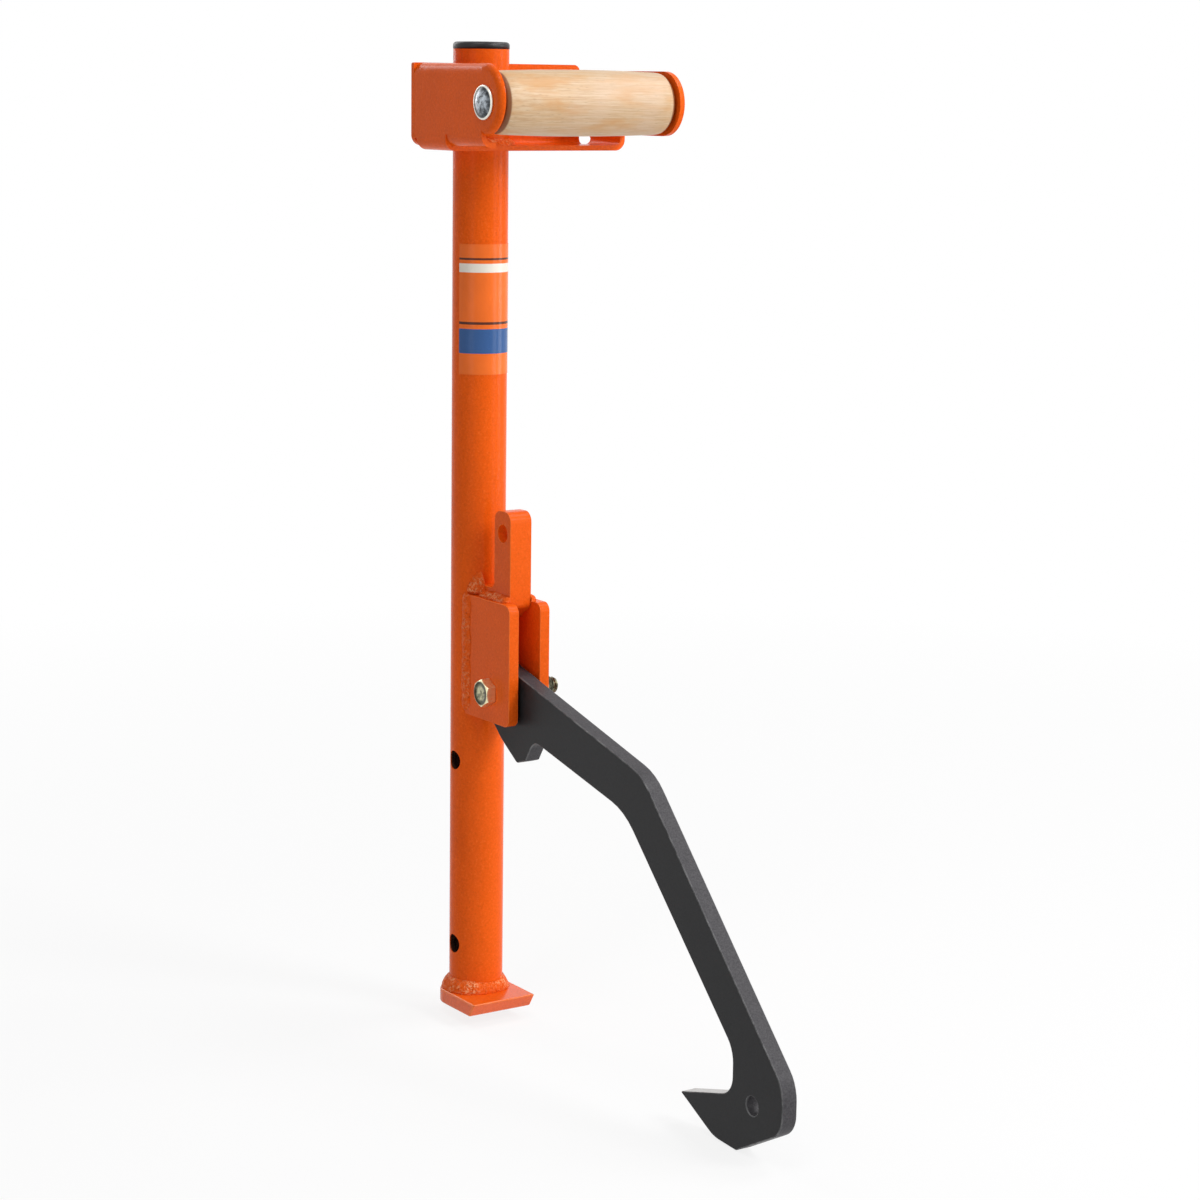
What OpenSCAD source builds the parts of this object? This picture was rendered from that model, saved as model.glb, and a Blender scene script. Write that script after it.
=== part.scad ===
// Log hauling and rolling tool: a welded tube with a foot, a swinging flat hook and a cross grip.
// Frame: origin at the middle of the grip, +X along the grip, -Y towards the hook, +Z up.
// All lengths are in millimetres. Places are given from the tube axis and the tube's lower end.

/* [Tube] */
// Outside diameter of the main tube
tube_od = 31.75; // [25:0.25:40]
// Wall thickness of the main tube
tube_wall = 3; // [1.5:0.1:5]
// Length of the main tube
tube_len = 549.6; // [400:0.1:700]
// Height of the upper cross pin hole
pin_hi_z = 140; // [80:1:200]
// Height of the lower cross pin hole
pin_lo_z = 28.5; // [15:0.5:60]
// Diameter of the cross pin holes
pin_hole_d = 11.1; // [6:0.1:14]
// Diameter of the cap's flange
cap_d = 32; // [28:0.25:40]
// Height of the cap's flange
cap_h = 4.2; // [2:0.1:8]
// Length of the plug below the flange
plug_len = 15; // [8:1:30]
// Radial clearance of the plug in the tube
plug_fit = 0.05; // [0.02:0.01:0.2]

/* [Foot] */
// Width of the foot plate along the grip
foot_w = 42.5; // [30:0.5:60]
// Reach of the foot plate in front of the tube axis
foot_front = 33; // [20:0.5:60]
// Reach of the foot plate behind the tube
foot_rear_over = 0.125; // [0:0.125:20]
// Thickness of the foot plate
foot_t = 8.5; // [5:0.5:14]
// Set-back of the lower front edge
foot_undercut = 5.5; // [0:0.5:12]
// Radius of the rear corners
foot_r = 14; // [1:0.5:15]
// Leg of the weld around the tube foot
foot_weld_leg = 5.5; // [3:0.5:8]
// Height of the weld bead on the tube's foot
foot_weld_up = 8; // [3:0.5:12]

/* [Handle bracket] */
// Thickness of the bent sheet
sheet_t = 3; // [2:0.1:5]
// Outside radius of the bends
bend_r = 6.4; // [4:0.1:10]
// Outer face of the left ear
ear_left_x = -34.5; // [-60:0.5:-25]
// Outer face of the right ear
ear_right_x = 85.7; // [60:0.1:120]
// Distance from the tube's upper end down to the tray's underside
tray_drop = 56.3; // [40:0.1:150]
// Half the depth of the tray
tray_half = 19; // [16:0.5:30]
// Right end of the rear web
web_end_x = 77; // [60:0.5:110]
// Height of the rear web above the tray's underside
web_h = 48.4; // [30:0.1:55]
// Reach of the web's lower left corner below the bend's start
corner_drop = 4.2; // [1:0.1:5]
// Radius of that corner
corner_r = 6; // [1:0.5:6]
// Radius of the ear noses
nose_r = 18; // [12:0.5:25]
// Height of the left ear's upper lip above the tray's underside
ear_h = 48.2; // [30:0.1:60]
// Height of the left ear's lower lip above the tray's underside
low_lip_up = 2.7; // [0:0.1:8]
// Outer radius of the rolled rim round the left ear's front
rim_bend = 3.6; // [3.5:0.1:8]
// Set-back of that rim behind the right ear's nose
rim_back = 1.5; // [0:0.1:4]
// Flat length of the lips beyond their bends
lip_flat = 3; // [1:0.5:8]

/* [Grip] */
// Distance of the grip axis in front of the tube axis
grip_out = 60.5; // [45:0.5:90]
// Height of the grip axis above the tray's underside
grip_up = 27.2; // [18:0.1:40]
// Diameter at the middle of the grip
grip_d = 36.4; // [28:0.2:45]
// Diameter next to the rounded ends
grip_end_d = 34.2; // [28:0.2:45]
// Radius of the rounded ends
grip_round = 4; // [2:0.5:10]
// Diameter of the grip bolt
grip_bolt_d = 7.94; // [6:0.01:12]
// Running clearance of the grip on its bolt
grip_fit = 0.08; // [0.02:0.01:0.1]
// Diameter of the round bolt head
round_head_d = 19; // [14:0.5:26]
// Height of the round bolt head
round_head_h = 3.4; // [2:0.1:7]
// Thickness of the washers inside the ears
grip_washer_t = 1; // [0.8:0.1:4]
// Diameter of those washers
grip_washer_d = 19; // [14:0.5:30]
// End gap between grip and each washer
grip_gap = 0.3; // [0.1:0.1:1]

/* [Clevis] */
// Thickness of each clevis plate
plate_t = 6.35; // [4:0.05:10]
// Gap between the clevis plates
plate_gap = 14.3; // [10:0.1:20]
// Lower edge of the clevis plates
plate_low = 169.5; // [150:0.5:180]
// Upper edge of the clevis plates
plate_top = 240; // [220:0.5:280]
// Reach of the clevis plates in front of the tube axis
plate_out = 56.5; // [45:0.5:80]
// Radius of the plates' front corners
plate_r = 5; // [1:0.5:12]
// Reach of the lug bar in front of the tube axis
lug_out = 46.6; // [35:0.1:60]
// Depth of the upright part of the lug bar
lug_depth = 17.3; // [12:0.1:30]
// Height of the lug bar's foot above the clevis plates
lug_foot_up = 6; // [3:0.5:20]
// Upper edge of the lug bar
lug_top = 291.5; // [260:0.5:330]
// Distance of the lug hole in front of the tube axis
lug_hole_out = 38; // [30:0.5:50]
// Height of the lug hole
lug_hole_z = 278.7; // [250:0.1:320]
// Diameter of the lug hole
lug_hole_d = 10.4; // [6:0.1:14]

/* [Pivot] */
// Distance of the pivot in front of the tube axis
pivot_out = 35.3; // [28:0.1:50]
// Height of the pivot
pivot_z = 186.8; // [170:0.1:210]
// Diameter of the pivot bolt
bolt_d = 9.525; // [8:0.005:12.7]
// Length of the pivot bolt under its head
bolt_len = 44.45; // [38:0.05:60]
// Width across flats of the bolt head and nut
hex_af = 14.3; // [12:0.1:19]
// Height of the hexagon head
hex_h = 6.2; // [4:0.1:9]
// Thickness of the washer under the nut
nut_washer_t = 1.8; // [1:0.1:4]
// Diameter of the washer under the nut
nut_washer_d = 20; // [16:0.5:26]
// Height of the nut's hexagon
nut_h = 7.5; // [5:0.1:10]
// Height of the nut's collar
collar_h = 3.2; // [2:0.1:5]
// Running clearance of the hook on its bolt
pivot_fit = 0.08; // [0.02:0.01:0.1]
// Clearance of the bolt in the plates and washers
bolt_gap = 0.2; // [0.1:0.05:0.6]

/* [Hook] */
// Thickness of the hook plate
hook_t = 9.525; // [6:0.005:14]
// Diameter of the tip hole
tip_hole_d = 10.3; // [6:0.1:14]
// Distance of the tip hole in front of the tube axis
tip_hole_out = 283; // [250:0.5:320]
// Height of the tip hole
tip_hole_z = 13.5; // [0:0.5:30]
// Diameter of the spacers beside the hook
spacer_d = 18; // [14:0.5:26]
// Side gap of each spacer
spacer_gap = 0.1; // [0.05:0.05:0.4]

/* [Label and welds] */
// Distance from the tube's upper end down to the label film
label_drop = 108.6; // [90:0.2:200]
// Height of the label film
label_h = 74; // [30:1:120]
// Arc that the label film covers, in degrees
label_arc = 156; // [60:2:300]
// Thickness of the label film
label_t = 0.2; // [0.1:0.05:0.5]
// Gap left beside parts that are welded in place
weld_gap = 0.1; // [0.05:0.05:0.4]

/* [Hidden] */
$fn = 64;
tube_r = tube_od / 2;
bore_r = tube_r - tube_wall;
half_gap = plate_gap / 2;
plate_face = half_gap + plate_t;
hex_ac = hex_af / cos(30);
foot_rear = tube_r + foot_rear_over;
tube_y_gap = sqrt(tube_r * tube_r - half_gap * half_gap);
tube_y_face = sqrt(tube_r * tube_r - plate_face * plate_face);
tray_z = tube_len - tray_drop;
web_top = tray_z + web_h;
lip_top = tray_z + ear_h;
lip_low = tray_z + low_lip_up;
rim_r = (lip_top - lip_low - bend_r) / 2;
rim_z = lip_top - rim_r;
rim_y = grip_out + nose_r - rim_back - rim_r;
grip_z = tray_z + grip_up;
label_low = tube_len - label_drop - label_h;
tray_top = tray_z + sheet_t;
web_face = tray_half - sheet_t - 0.05;
bend_z = tray_z + bend_r;
bend_y = tray_half - bend_r;
left_in = ear_left_x + sheet_t;
left_bend = ear_left_x + bend_r;
right_in = ear_right_x - sheet_t;
right_bend = ear_right_x - bend_r;
grip_mid = (left_in + right_in) / 2;
grip_half = (right_in - left_in) / 2 - grip_washer_t - grip_gap;
spacer_t = half_gap - hook_t / 2 - 2 * spacer_gap;
orange = [0.80, 0.30, 0.10];
zinc = [0.78, 0.78, 0.76];
yellow_zinc = [0.80, 0.74, 0.42];

// Corners of the hook plate seen from its left side: y, z and corner radius.
hook_corners = [
    [-16.2, 174.6, 1], [-16.2, 207.7, 17], [-177.8, 166.5, 38], [-308.5, 30.6, 22],
    [-308.5, 6, 14], [-269.6, -14.9, 2.5], [-249.5, -13.7, 22], [-218.9, 2, 0.6],
    [-265.3, 14.8, 12], [-265.3, 38.4, 18], [-161.3, 143.1, 44], [-69.4, 163.8, 9],
    [-60.8, 150.3, 1.5], [-51.5, 147.4, 3], [-34.2, 158.4, 20]];
lug_back = lug_out - lug_depth;
lug_corners = [
    [-tube_r / 2, plate_top + lug_foot_up, 0], [-lug_back, plate_top + lug_foot_up, 4],
    [-lug_back, lug_top, 6], [-lug_out, lug_top, 6], [-lug_out, plate_top - 3, 3],
    [-lug_back - 1.7, plate_top - 14, 3], [-tube_r / 2, plate_top - 28, 0]];
plate_corners = [
    [-4, plate_low, 0], [-4, plate_top, 0], [-plate_out, plate_top, plate_r],
    [-plate_out, plate_low, plate_r]];
ear_rear = tray_half - sheet_t - 0.2;
left_ear_corners = [
    [ear_rear, bend_z, 0], [ear_rear, lip_top - bend_r, 0], [-rim_y, lip_top - bend_r, 0],
    [-rim_y, lip_low + bend_r, 0], [-tray_half, lip_low + bend_r, 0], [-tray_half, bend_z, 0]];
right_ear_corners = [
    [tray_half - bend_r, bend_z, 0], [17, bend_z + 4.4, 3], [17, grip_z + nose_r, 4],
    [-grip_out, grip_z + nose_r, 0], [-grip_out, grip_z - nose_r, 0],
    [-tray_half, grip_z - nose_r, 1], [-tray_half, bend_z, 0]];
foot_corners = [
    [-foot_w / 2, -foot_front, 0], [foot_w / 2, -foot_front, 0],
    [foot_w / 2, foot_rear, foot_r], [-foot_w / 2, foot_rear, foot_r]];

// A corner list with each corner replaced by its arc, about one point each nine degrees.
function unit(v) = v / norm(v);
function xy(p) = [p[0], p[1]];
function arc_at(a, p, b) =
    let (u = unit(xy(a) - xy(p)), w = unit(xy(b) - xy(p)), half = acos(u * w) / 2,
         c = xy(p) + unit(u + w) * p[2] / sin(half), s = xy(p) + u * p[2] / tan(half),
         turn = (180 - 2 * half) * sign(cross(w, u)), n = ceil(abs(turn) / 9),
         d = s - c)
    [for (k = [0:n]) let (t = turn * k / n)
        c + [d[0] * cos(t) - d[1] * sin(t), d[0] * sin(t) + d[1] * cos(t)]];
function rounded(c) = let (n = len(c))
    [for (i = [0:n - 1]) each (c[i][2] > 0
        ? arc_at(c[(i + n - 1) % n], c[i], c[(i + 1) % n]) : [xy(c[i])])];

// Moves a shape given from the tube axis and tube end into the frame of the grip.
module from_tube() { translate([-grip_mid, grip_out, -grip_z]) children(); }
// A flat shape in y and z, made solid from x0 to x1.
module across(x0, x1) { translate([x0, 0, 0]) rotate([90, 0, 90]) linear_extrude(x1 - x0) children(); }
// A flat shape in x and z, made solid from y0 to y1.
module along(y0, y1) { translate([0, y1, 0]) rotate([90, 0, 0]) linear_extrude(y1 - y0) children(); }
// A round bar along x at height z and distance y.
module bar_x(x0, x1, r, y, z) { translate([x0, y, z]) rotate([0, 90, 0]) cylinder(h = x1 - x0, r = r); }
// A hexagon along x with corners up and down.
module hex_x(x0, x1, y, z) {
    translate([x0, y, z]) rotate([0, 90, 0]) cylinder(h = x1 - x0, d = hex_ac, $fn = 6);
}
module tube_cut(extra) { translate([0, 0, -30]) cylinder(h = tube_len + 60, r = tube_r + extra); }
// A quarter of a bend's section, sx and sz giving the quarter.
module bend(sx, sz, r = bend_r) {
    intersection() {
        difference() { circle(r); circle(r - sheet_t); }
        scale([sx, sz]) square(r + 1);
    }
}

module main_tube() {
    from_tube() color(orange) difference() {
        cylinder(h = tube_len, r = tube_r);
        translate([0, 0, -1]) cylinder(h = tube_len + 2, r = bore_r);
        bar_x(-tube_r - 2, tube_r + 2, pin_hole_d / 2, 0, pin_hi_z);
        bar_x(-tube_r - 2, tube_r + 2, pin_hole_d / 2, 0, pin_lo_z);
    }
}

module tube_cap() {
    from_tube() color([0.07, 0.06, 0.07]) translate([0, 0, tube_len]) rotate_extrude()
        polygon([[0, cap_h], [cap_d / 2 - 2.2, cap_h], [cap_d / 2 - 0.7, cap_h - 0.6],
            [cap_d / 2, cap_h - 2], [cap_d / 2, 0], [bore_r - plug_fit, 0],
            [bore_r - plug_fit, -plug_len + 1], [bore_r - 1, -plug_len], [bore_r - 3, -plug_len],
            [bore_r - 3, -1], [0, -1]]);
}

module label_film() {
    from_tube() color([0.92, 0.42, 0.17]) translate([0, 0, label_low]) rotate([0, 0, -90 - label_arc / 2])
        rotate_extrude(angle = label_arc) translate([tube_r + 0.02, 0])
            square([label_t, label_h]);
}

module foot_plate() {
    from_tube() color(orange) intersection() {
        translate([0, 0, -foot_t]) linear_extrude(foot_t) polygon(rounded(foot_corners));
        across(-foot_w / 2 - 1, foot_w / 2 + 1)
            polygon([[-foot_front, 0], [-foot_front + foot_undercut, -foot_t],
                [foot_rear + 1, -foot_t], [foot_rear + 1, 0]]);
    }
}

module foot_weld() {
    from_tube() color(orange) intersection() {
        rotate_extrude() polygon([[tube_r + weld_gap, 0], [tube_r + foot_weld_leg, 0],
            [tube_r + foot_weld_leg - 0.9, 1.8], [tube_r + 1.7, foot_weld_up - 2.5],
            [tube_r + weld_gap, foot_weld_up]]);
        linear_extrude(foot_weld_up + 1) polygon(rounded(foot_corners));
    }
}

module handle_bracket() {
    from_tube() color(orange) difference() {
        union() {
            along(-tray_half, bend_y) {
                translate([left_bend, tray_z]) square([right_bend - left_bend, sheet_t]);
                translate([left_bend, bend_z]) bend(-1, -1);
                translate([right_bend, bend_z]) bend(1, -1);
            }
            across(left_bend, web_end_x) translate([bend_y, bend_z]) bend(1, -1);
            along(tray_half - sheet_t, tray_half) polygon(rounded([
                [ear_left_x, bend_z - corner_drop, corner_r], [left_bend, bend_z - corner_drop, 0],
                [left_bend, bend_z, 0], [web_end_x, bend_z, 0], [web_end_x, web_top, 4],
                [ear_left_x, web_top, 1]]));
            across(ear_left_x, left_in) {
                polygon(rounded(left_ear_corners));
                intersection() {
                    translate([-rim_y, rim_z]) circle(rim_r - rim_bend);
                    translate([-rim_y - rim_r, rim_z - rim_r]) square([rim_r + 0.05, 2 * rim_r]);
                }
            }
            translate([ear_left_x, -rim_y, rim_z]) rotate([0, 90, 0]) rotate([0, 0, 180])
                rotate_extrude(angle = 180) translate([rim_r - rim_bend, rim_bend])
                    bend(1, -1, rim_bend);
            across(right_in, ear_right_x) {
                polygon(rounded(right_ear_corners));
                translate([-grip_out, grip_z]) circle(nose_r);
            }
            along(-rim_y, ear_rear) {
                translate([left_bend, lip_top - bend_r]) bend(-1, 1);
                translate([left_bend, lip_top - sheet_t]) square([lip_flat, sheet_t]);
            }
            along(-rim_y, -tray_half - 2) {
                translate([left_bend, lip_low + bend_r]) bend(-1, -1);
                translate([left_bend, lip_low]) square([lip_flat, sheet_t]);
            }
        }
        tube_cut(weld_gap);
        bar_x(ear_left_x - 1, ear_right_x + 1, grip_bolt_d / 2 + bolt_gap, -grip_out, grip_z);
    }
}

module bracket_welds() {
    from_tube() color(orange) {
        difference() {
            translate([0, 0, tray_top]) rotate_extrude()
                polygon([[tube_r + weld_gap, 0], [tube_r + 4, 0], [tube_r + 2.6, 2.6], [tube_r + weld_gap, 4]]);
            translate([-40, bend_y - weld_gap, tray_top - 1]) cube([80, 20, 12]);
            translate([-40, -40 - tray_half, tray_top - 1]) cube([80, 40, 12]);
        }
        for (s = [-1, 1]) difference() {
            translate([0, 0, tray_top + 5]) linear_extrude(web_top - tray_top - 9)
                polygon([[s * tube_r * 0.44, web_face], [s * tube_r * 0.85, web_face],
                    [s * tube_r * 0.88, tube_r * 0.8], [s * tube_r * 0.86, tube_r * 0.41]]);
            tube_cut(weld_gap);
        }
    }
}

module grip() {
    from_tube() color([0.86, 0.68, 0.45]) translate([grip_mid, -grip_out, grip_z]) rotate([0, 90, 0])
        rotate_extrude() polygon(concat(
            [[grip_bolt_d / 2 + grip_fit, -grip_half]],
            [for (a = [0:15:90]) [grip_end_d / 2 - grip_round + grip_round * sin(a),
                -grip_half + grip_round - grip_round * cos(a)]],
            [for (t = [-0.6:0.3:0.6]) [grip_d / 2 - (grip_d - grip_end_d) / 2 * t * t,
                t * grip_half]],
            [for (a = [90:-15:0]) [grip_end_d / 2 - grip_round + grip_round * sin(a),
                grip_half - grip_round + grip_round * cos(a)]],
            [[grip_bolt_d / 2 + grip_fit, grip_half]]));
}

module grip_bolt() {
    from_tube() color(zinc) {
        translate([ear_left_x - round_head_h, -grip_out, grip_z]) rotate([0, 90, 0]) rotate_extrude()
            polygon([[0, 0], [round_head_d / 2 - 4, 0.4], [round_head_d / 2 - 1.4, 1.5],
                [round_head_d / 2, round_head_h - 0.8], [round_head_d / 2, round_head_h], [0, round_head_h]]);
        bar_x(ear_left_x - 0.5, ear_right_x + 9.4, grip_bolt_d / 2, -grip_out, grip_z);
    }
}

module grip_washers() {
    from_tube() color(zinc) for (x = [left_in, right_in - grip_washer_t]) difference() {
        bar_x(x, x + grip_washer_t, grip_washer_d / 2, -grip_out, grip_z);
        bar_x(x - 1, x + grip_washer_t + 1, grip_bolt_d / 2 + bolt_gap, -grip_out, grip_z);
    }
}

module grip_nut() {
    from_tube() color(zinc) difference() {
        union() {
            translate([ear_right_x, -grip_out, grip_z]) rotate([0, 90, 0])
                cylinder(h = 5.4, d = 12.7 / cos(30), $fn = 6);
            bar_x(ear_right_x + 5, ear_right_x + 8, 5.6, -grip_out, grip_z);
        }
        bar_x(ear_right_x - 1, ear_right_x + 10, grip_bolt_d / 2 + 0.05, -grip_out, grip_z);
    }
}

module clevis_plate(side) {
    from_tube() color(orange) difference() {
        across(side > 0 ? half_gap : -plate_face, side > 0 ? plate_face : -half_gap)
            polygon(rounded(plate_corners));
        tube_cut(weld_gap);
        bar_x(-plate_face - 1, plate_face + 1, bolt_d / 2 + bolt_gap, -pivot_out, pivot_z);
    }
}
module clevis_plate_left() { clevis_plate(-1); }
module clevis_plate_right() { clevis_plate(1); }

module lug_bar() {
    from_tube() color(orange) difference() {
        across(-half_gap + 0.05, half_gap - 0.05) polygon(rounded(lug_corners));
        tube_cut(weld_gap);
        bar_x(-half_gap - 1, half_gap + 1, lug_hole_d / 2, -lug_hole_out, lug_hole_z);
    }
}

module clevis_welds() {
    from_tube() color(orange) for (s = [-1, 1]) {
        difference() {
            translate([0, 0, plate_low + 2]) linear_extrude(plate_top - plate_low - 1)
                polygon([[s * (plate_face + 0.05), -tube_y_face - 9],
                    [s * (plate_face + 2.4), -tube_y_face - 4], [s * (tube_r + 0.9), -tube_y_face + 2],
                    [s * (tube_r + 0.1), -tube_y_face + 5.4],
                    [s * (plate_face + 0.05), -tube_y_face + 4.4]]);
            tube_cut(weld_gap);
        }
        along(-lug_out - 1.4, -tube_r - 3) translate([0, plate_top]) polygon([[s * half_gap, 0.05],
            [s * (half_gap + 4.6), 0.05], [s * (half_gap + 2.8), 2.8], [s * half_gap, 4.4]]);
    }
}

module lug_welds() {
    from_tube() color(orange) for (s = [-1, 1]) difference() {
        translate([0, 0, plate_top + 0.6]) linear_extrude(lug_foot_up + 6)
            polygon([[s * half_gap, -tube_y_gap - 4.4], [s * (half_gap + 2.2), -tube_y_gap - 2.2],
                [s * (half_gap + 4.2), -tube_y_gap + 1.6], [s * half_gap, -tube_y_gap + 2.2]]);
        tube_cut(weld_gap);
    }
}

module hook() {
    from_tube() color([0.11, 0.11, 0.12]) difference() {
        across(-hook_t / 2, hook_t / 2) polygon(rounded(hook_corners));
        bar_x(-hook_t, hook_t, bolt_d / 2 + pivot_fit, -pivot_out, pivot_z);
        bar_x(-hook_t, hook_t, tip_hole_d / 2, -tip_hole_out, tip_hole_z);
    }
}

module pivot_bolt() {
    from_tube() color(yellow_zinc) {
        hex_x(-plate_face - hex_h, -plate_face, -pivot_out, pivot_z);
        bar_x(-plate_face - 1, bolt_len - plate_face, bolt_d / 2, -pivot_out, pivot_z);
    }
}

module hook_spacers() {
    from_tube() color(zinc) for (x = [-half_gap + spacer_gap, half_gap - spacer_gap - spacer_t]) difference() {
        bar_x(x, x + spacer_t, spacer_d / 2, -pivot_out, pivot_z);
        bar_x(x - 1, x + spacer_t + 1, bolt_d / 2 + bolt_gap, -pivot_out, pivot_z);
    }
}

module pivot_washer() {
    from_tube() color(yellow_zinc) difference() {
        bar_x(plate_face, plate_face + nut_washer_t, nut_washer_d / 2, -pivot_out, pivot_z);
        bar_x(plate_face - 1, plate_face + nut_washer_t + 1, bolt_d / 2 + bolt_gap, -pivot_out, pivot_z);
    }
}

module pivot_nut() {
    x0 = plate_face + nut_washer_t;
    from_tube() color(yellow_zinc) difference() {
        union() {
            hex_x(x0, x0 + nut_h, -pivot_out, pivot_z);
            bar_x(x0 + nut_h - 0.5, x0 + nut_h + collar_h, 6.6, -pivot_out, pivot_z);
        }
        bar_x(x0 - 1, x0 + nut_h + 0.5, bolt_d / 2 + 0.05, -pivot_out, pivot_z);
        bar_x(x0 + nut_h + 0.4, x0 + nut_h + collar_h + 1, 5.9, -pivot_out, pivot_z);
    }
}

module nut_insert() {
    x0 = plate_face + nut_washer_t + nut_h + 0.5;
    from_tube() color([0.85, 0.85, 0.8]) difference() {
        bar_x(x0, x0 + 2.2, 5.85, -pivot_out, pivot_z);
        bar_x(x0 - 1, x0 + 3.2, bolt_d / 2 + 0.05, -pivot_out, pivot_z);
    }
}

main_tube();
tube_cap();
label_film();
foot_plate();
foot_weld();
handle_bracket();
bracket_welds();
grip();
grip_bolt();
grip_washers();
grip_nut();
clevis_plate_left();
clevis_plate_right();
lug_bar();
clevis_welds();
lug_welds();
hook();
pivot_bolt();
hook_spacers();
pivot_washer();
pivot_nut();
nut_insert();
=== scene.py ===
"""Looks of a log hauling and rolling tool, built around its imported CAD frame.

Lengths in the code are millimetres in the tube's own frame (x along the grip, -y towards the hook, z up the
tube from its lower end); to_row() turns them into metres in the frame that the CAD parts use.
"""

import math

import bmesh
import bpy
import numpy as np
from mathutils import Matrix, Vector


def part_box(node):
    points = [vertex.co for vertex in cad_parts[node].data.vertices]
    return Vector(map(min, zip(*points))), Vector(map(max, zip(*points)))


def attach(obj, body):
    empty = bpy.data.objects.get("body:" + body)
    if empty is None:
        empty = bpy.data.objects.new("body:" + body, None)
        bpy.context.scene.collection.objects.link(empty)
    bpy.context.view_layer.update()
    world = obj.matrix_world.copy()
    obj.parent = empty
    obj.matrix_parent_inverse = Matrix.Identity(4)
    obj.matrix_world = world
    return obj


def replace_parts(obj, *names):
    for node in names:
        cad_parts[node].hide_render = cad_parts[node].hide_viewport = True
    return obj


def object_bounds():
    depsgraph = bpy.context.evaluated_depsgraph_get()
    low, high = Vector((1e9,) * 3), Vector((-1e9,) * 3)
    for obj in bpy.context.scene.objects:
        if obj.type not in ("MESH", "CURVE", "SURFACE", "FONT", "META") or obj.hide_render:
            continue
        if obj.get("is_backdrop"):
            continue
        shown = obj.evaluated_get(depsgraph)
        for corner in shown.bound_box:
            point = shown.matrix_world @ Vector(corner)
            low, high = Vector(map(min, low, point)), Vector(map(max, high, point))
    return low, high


bl_info = {
    "name": "Log Hauling Tool",
    "version": (1, 0, 0),
    "blender": (4, 5, 0),
    "location": "View3D > Sidebar > Log Tool",
    "description": "Builds the coated steel, wood grip, hook, welds and fasteners of a log hauling tool",
    "category": "Object",
}

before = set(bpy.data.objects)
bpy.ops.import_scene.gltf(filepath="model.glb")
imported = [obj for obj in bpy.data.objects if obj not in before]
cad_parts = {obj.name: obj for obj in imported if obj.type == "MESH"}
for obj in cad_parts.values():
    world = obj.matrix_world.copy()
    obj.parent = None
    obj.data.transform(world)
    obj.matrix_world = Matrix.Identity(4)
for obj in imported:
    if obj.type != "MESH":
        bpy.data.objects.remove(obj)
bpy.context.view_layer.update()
ROW_ORIGIN = np.array([25.6, -60.5, 520.5])
UP = np.array([0, 0, 1.0])
MM = 1000  # millimetres in a metre

# Sizes that match the CAD source, in millimetres. An axis along x is given by its y and z.
GRIP_AXIS = (-60.5, 520.5)
GRIP_BOLT_R = 3.97
GRIP_NUT_FLATS = 12.7
PIVOT_AXIS = (-35.3, 186.8)
PIVOT_BOLT_R = 9.525 / 2
PIVOT_FLATS = 14.3
FOOT_CORNER_R = 14.0

# Radii past which the bolts' heads get a painted highlight, in millimetres
GRIP_RIM_R = 8.45
PIVOT_RIM_R = 6.85

# Lumps on the foot's weld: direction and width in degrees, height in millimetres
FOOT_LUMPS = (
    (243, 24, 1.0), (262, 26, 1.4), (282, 24, 1.5), (303, 26, 1.3), (206, 30, 0.6), (95, 28, 0.5),
)

# The camera fitted to the photograph: place in metres, then heading, height and roll in degrees
CAMERA_AT = (-0.8880, -1.3603, 0.0134)
CAMERA_TURN = (-33.71, 10.21, 0.78)
LENS_OVER_SENSOR = 2893 / 1200

# Lamps: name, direction from the target, distance, width and height, power, target
UPPER_PART = (0.02, -0.05, -0.05)
WHOLE_TOOL = (0.02, -0.05, -0.25)
LAMPS = (
    ("key", (0.42, -0.78, 0.52), 1.6, (0.5, 0.7), 17, UPPER_PART),
    ("front right", (0.56, -0.83, -0.05), 2.4, (0.7, 0.9), 6, UPPER_PART),
    ("overhead", (0.55, -0.12, 0.82), 2.0, (0.8, 0.8), 13, WHOLE_TOOL),
    ("upper left", (-0.34, -0.22, 0.9), 2.0, (0.5, 1.0), 9, WHOLE_TOOL),
    ("left fill", (-0.85, -0.35, 0.20), 2.6, (1.0, 1.6), 4.6, WHOLE_TOOL),
    ("right", (0.88, -0.46, 0.10), 2.4, (0.7, 1.4), 15, WHOLE_TOOL),
    ("rear", (-0.12, 0.9, 0.42), 2.2, (0.6, 1.6), 9, WHOLE_TOOL),
)


def to_row(points):
    """Tube-frame millimetres to row-frame metres: subtract the grip's middle, divide by a thousand."""
    return (np.asarray(points, float) - ROW_ORIGIN) / MM


def node_span(name):
    """Lowest and highest corner of a CAD node, back in tube-frame millimetres."""
    low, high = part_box(name)
    return np.array(low) * MM + ROW_ORIGIN, np.array(high) * MM + ROW_ORIGIN


# Properties


def colour(name, text, value):
    return bpy.props.FloatVectorProperty(
        name=name, description=text, default=value, subtype="COLOR", size=3, min=0, max=1
    )


def length(name, text, value):
    return bpy.props.FloatProperty(
        name=name, description=text, default=value, unit="LENGTH", subtype="DISTANCE", min=0, precision=5
    )


def settings():
    """The sizes and colours set for the scene."""
    return bpy.context.scene.log_tool_sizes, bpy.context.scene.log_tool_colours


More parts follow.
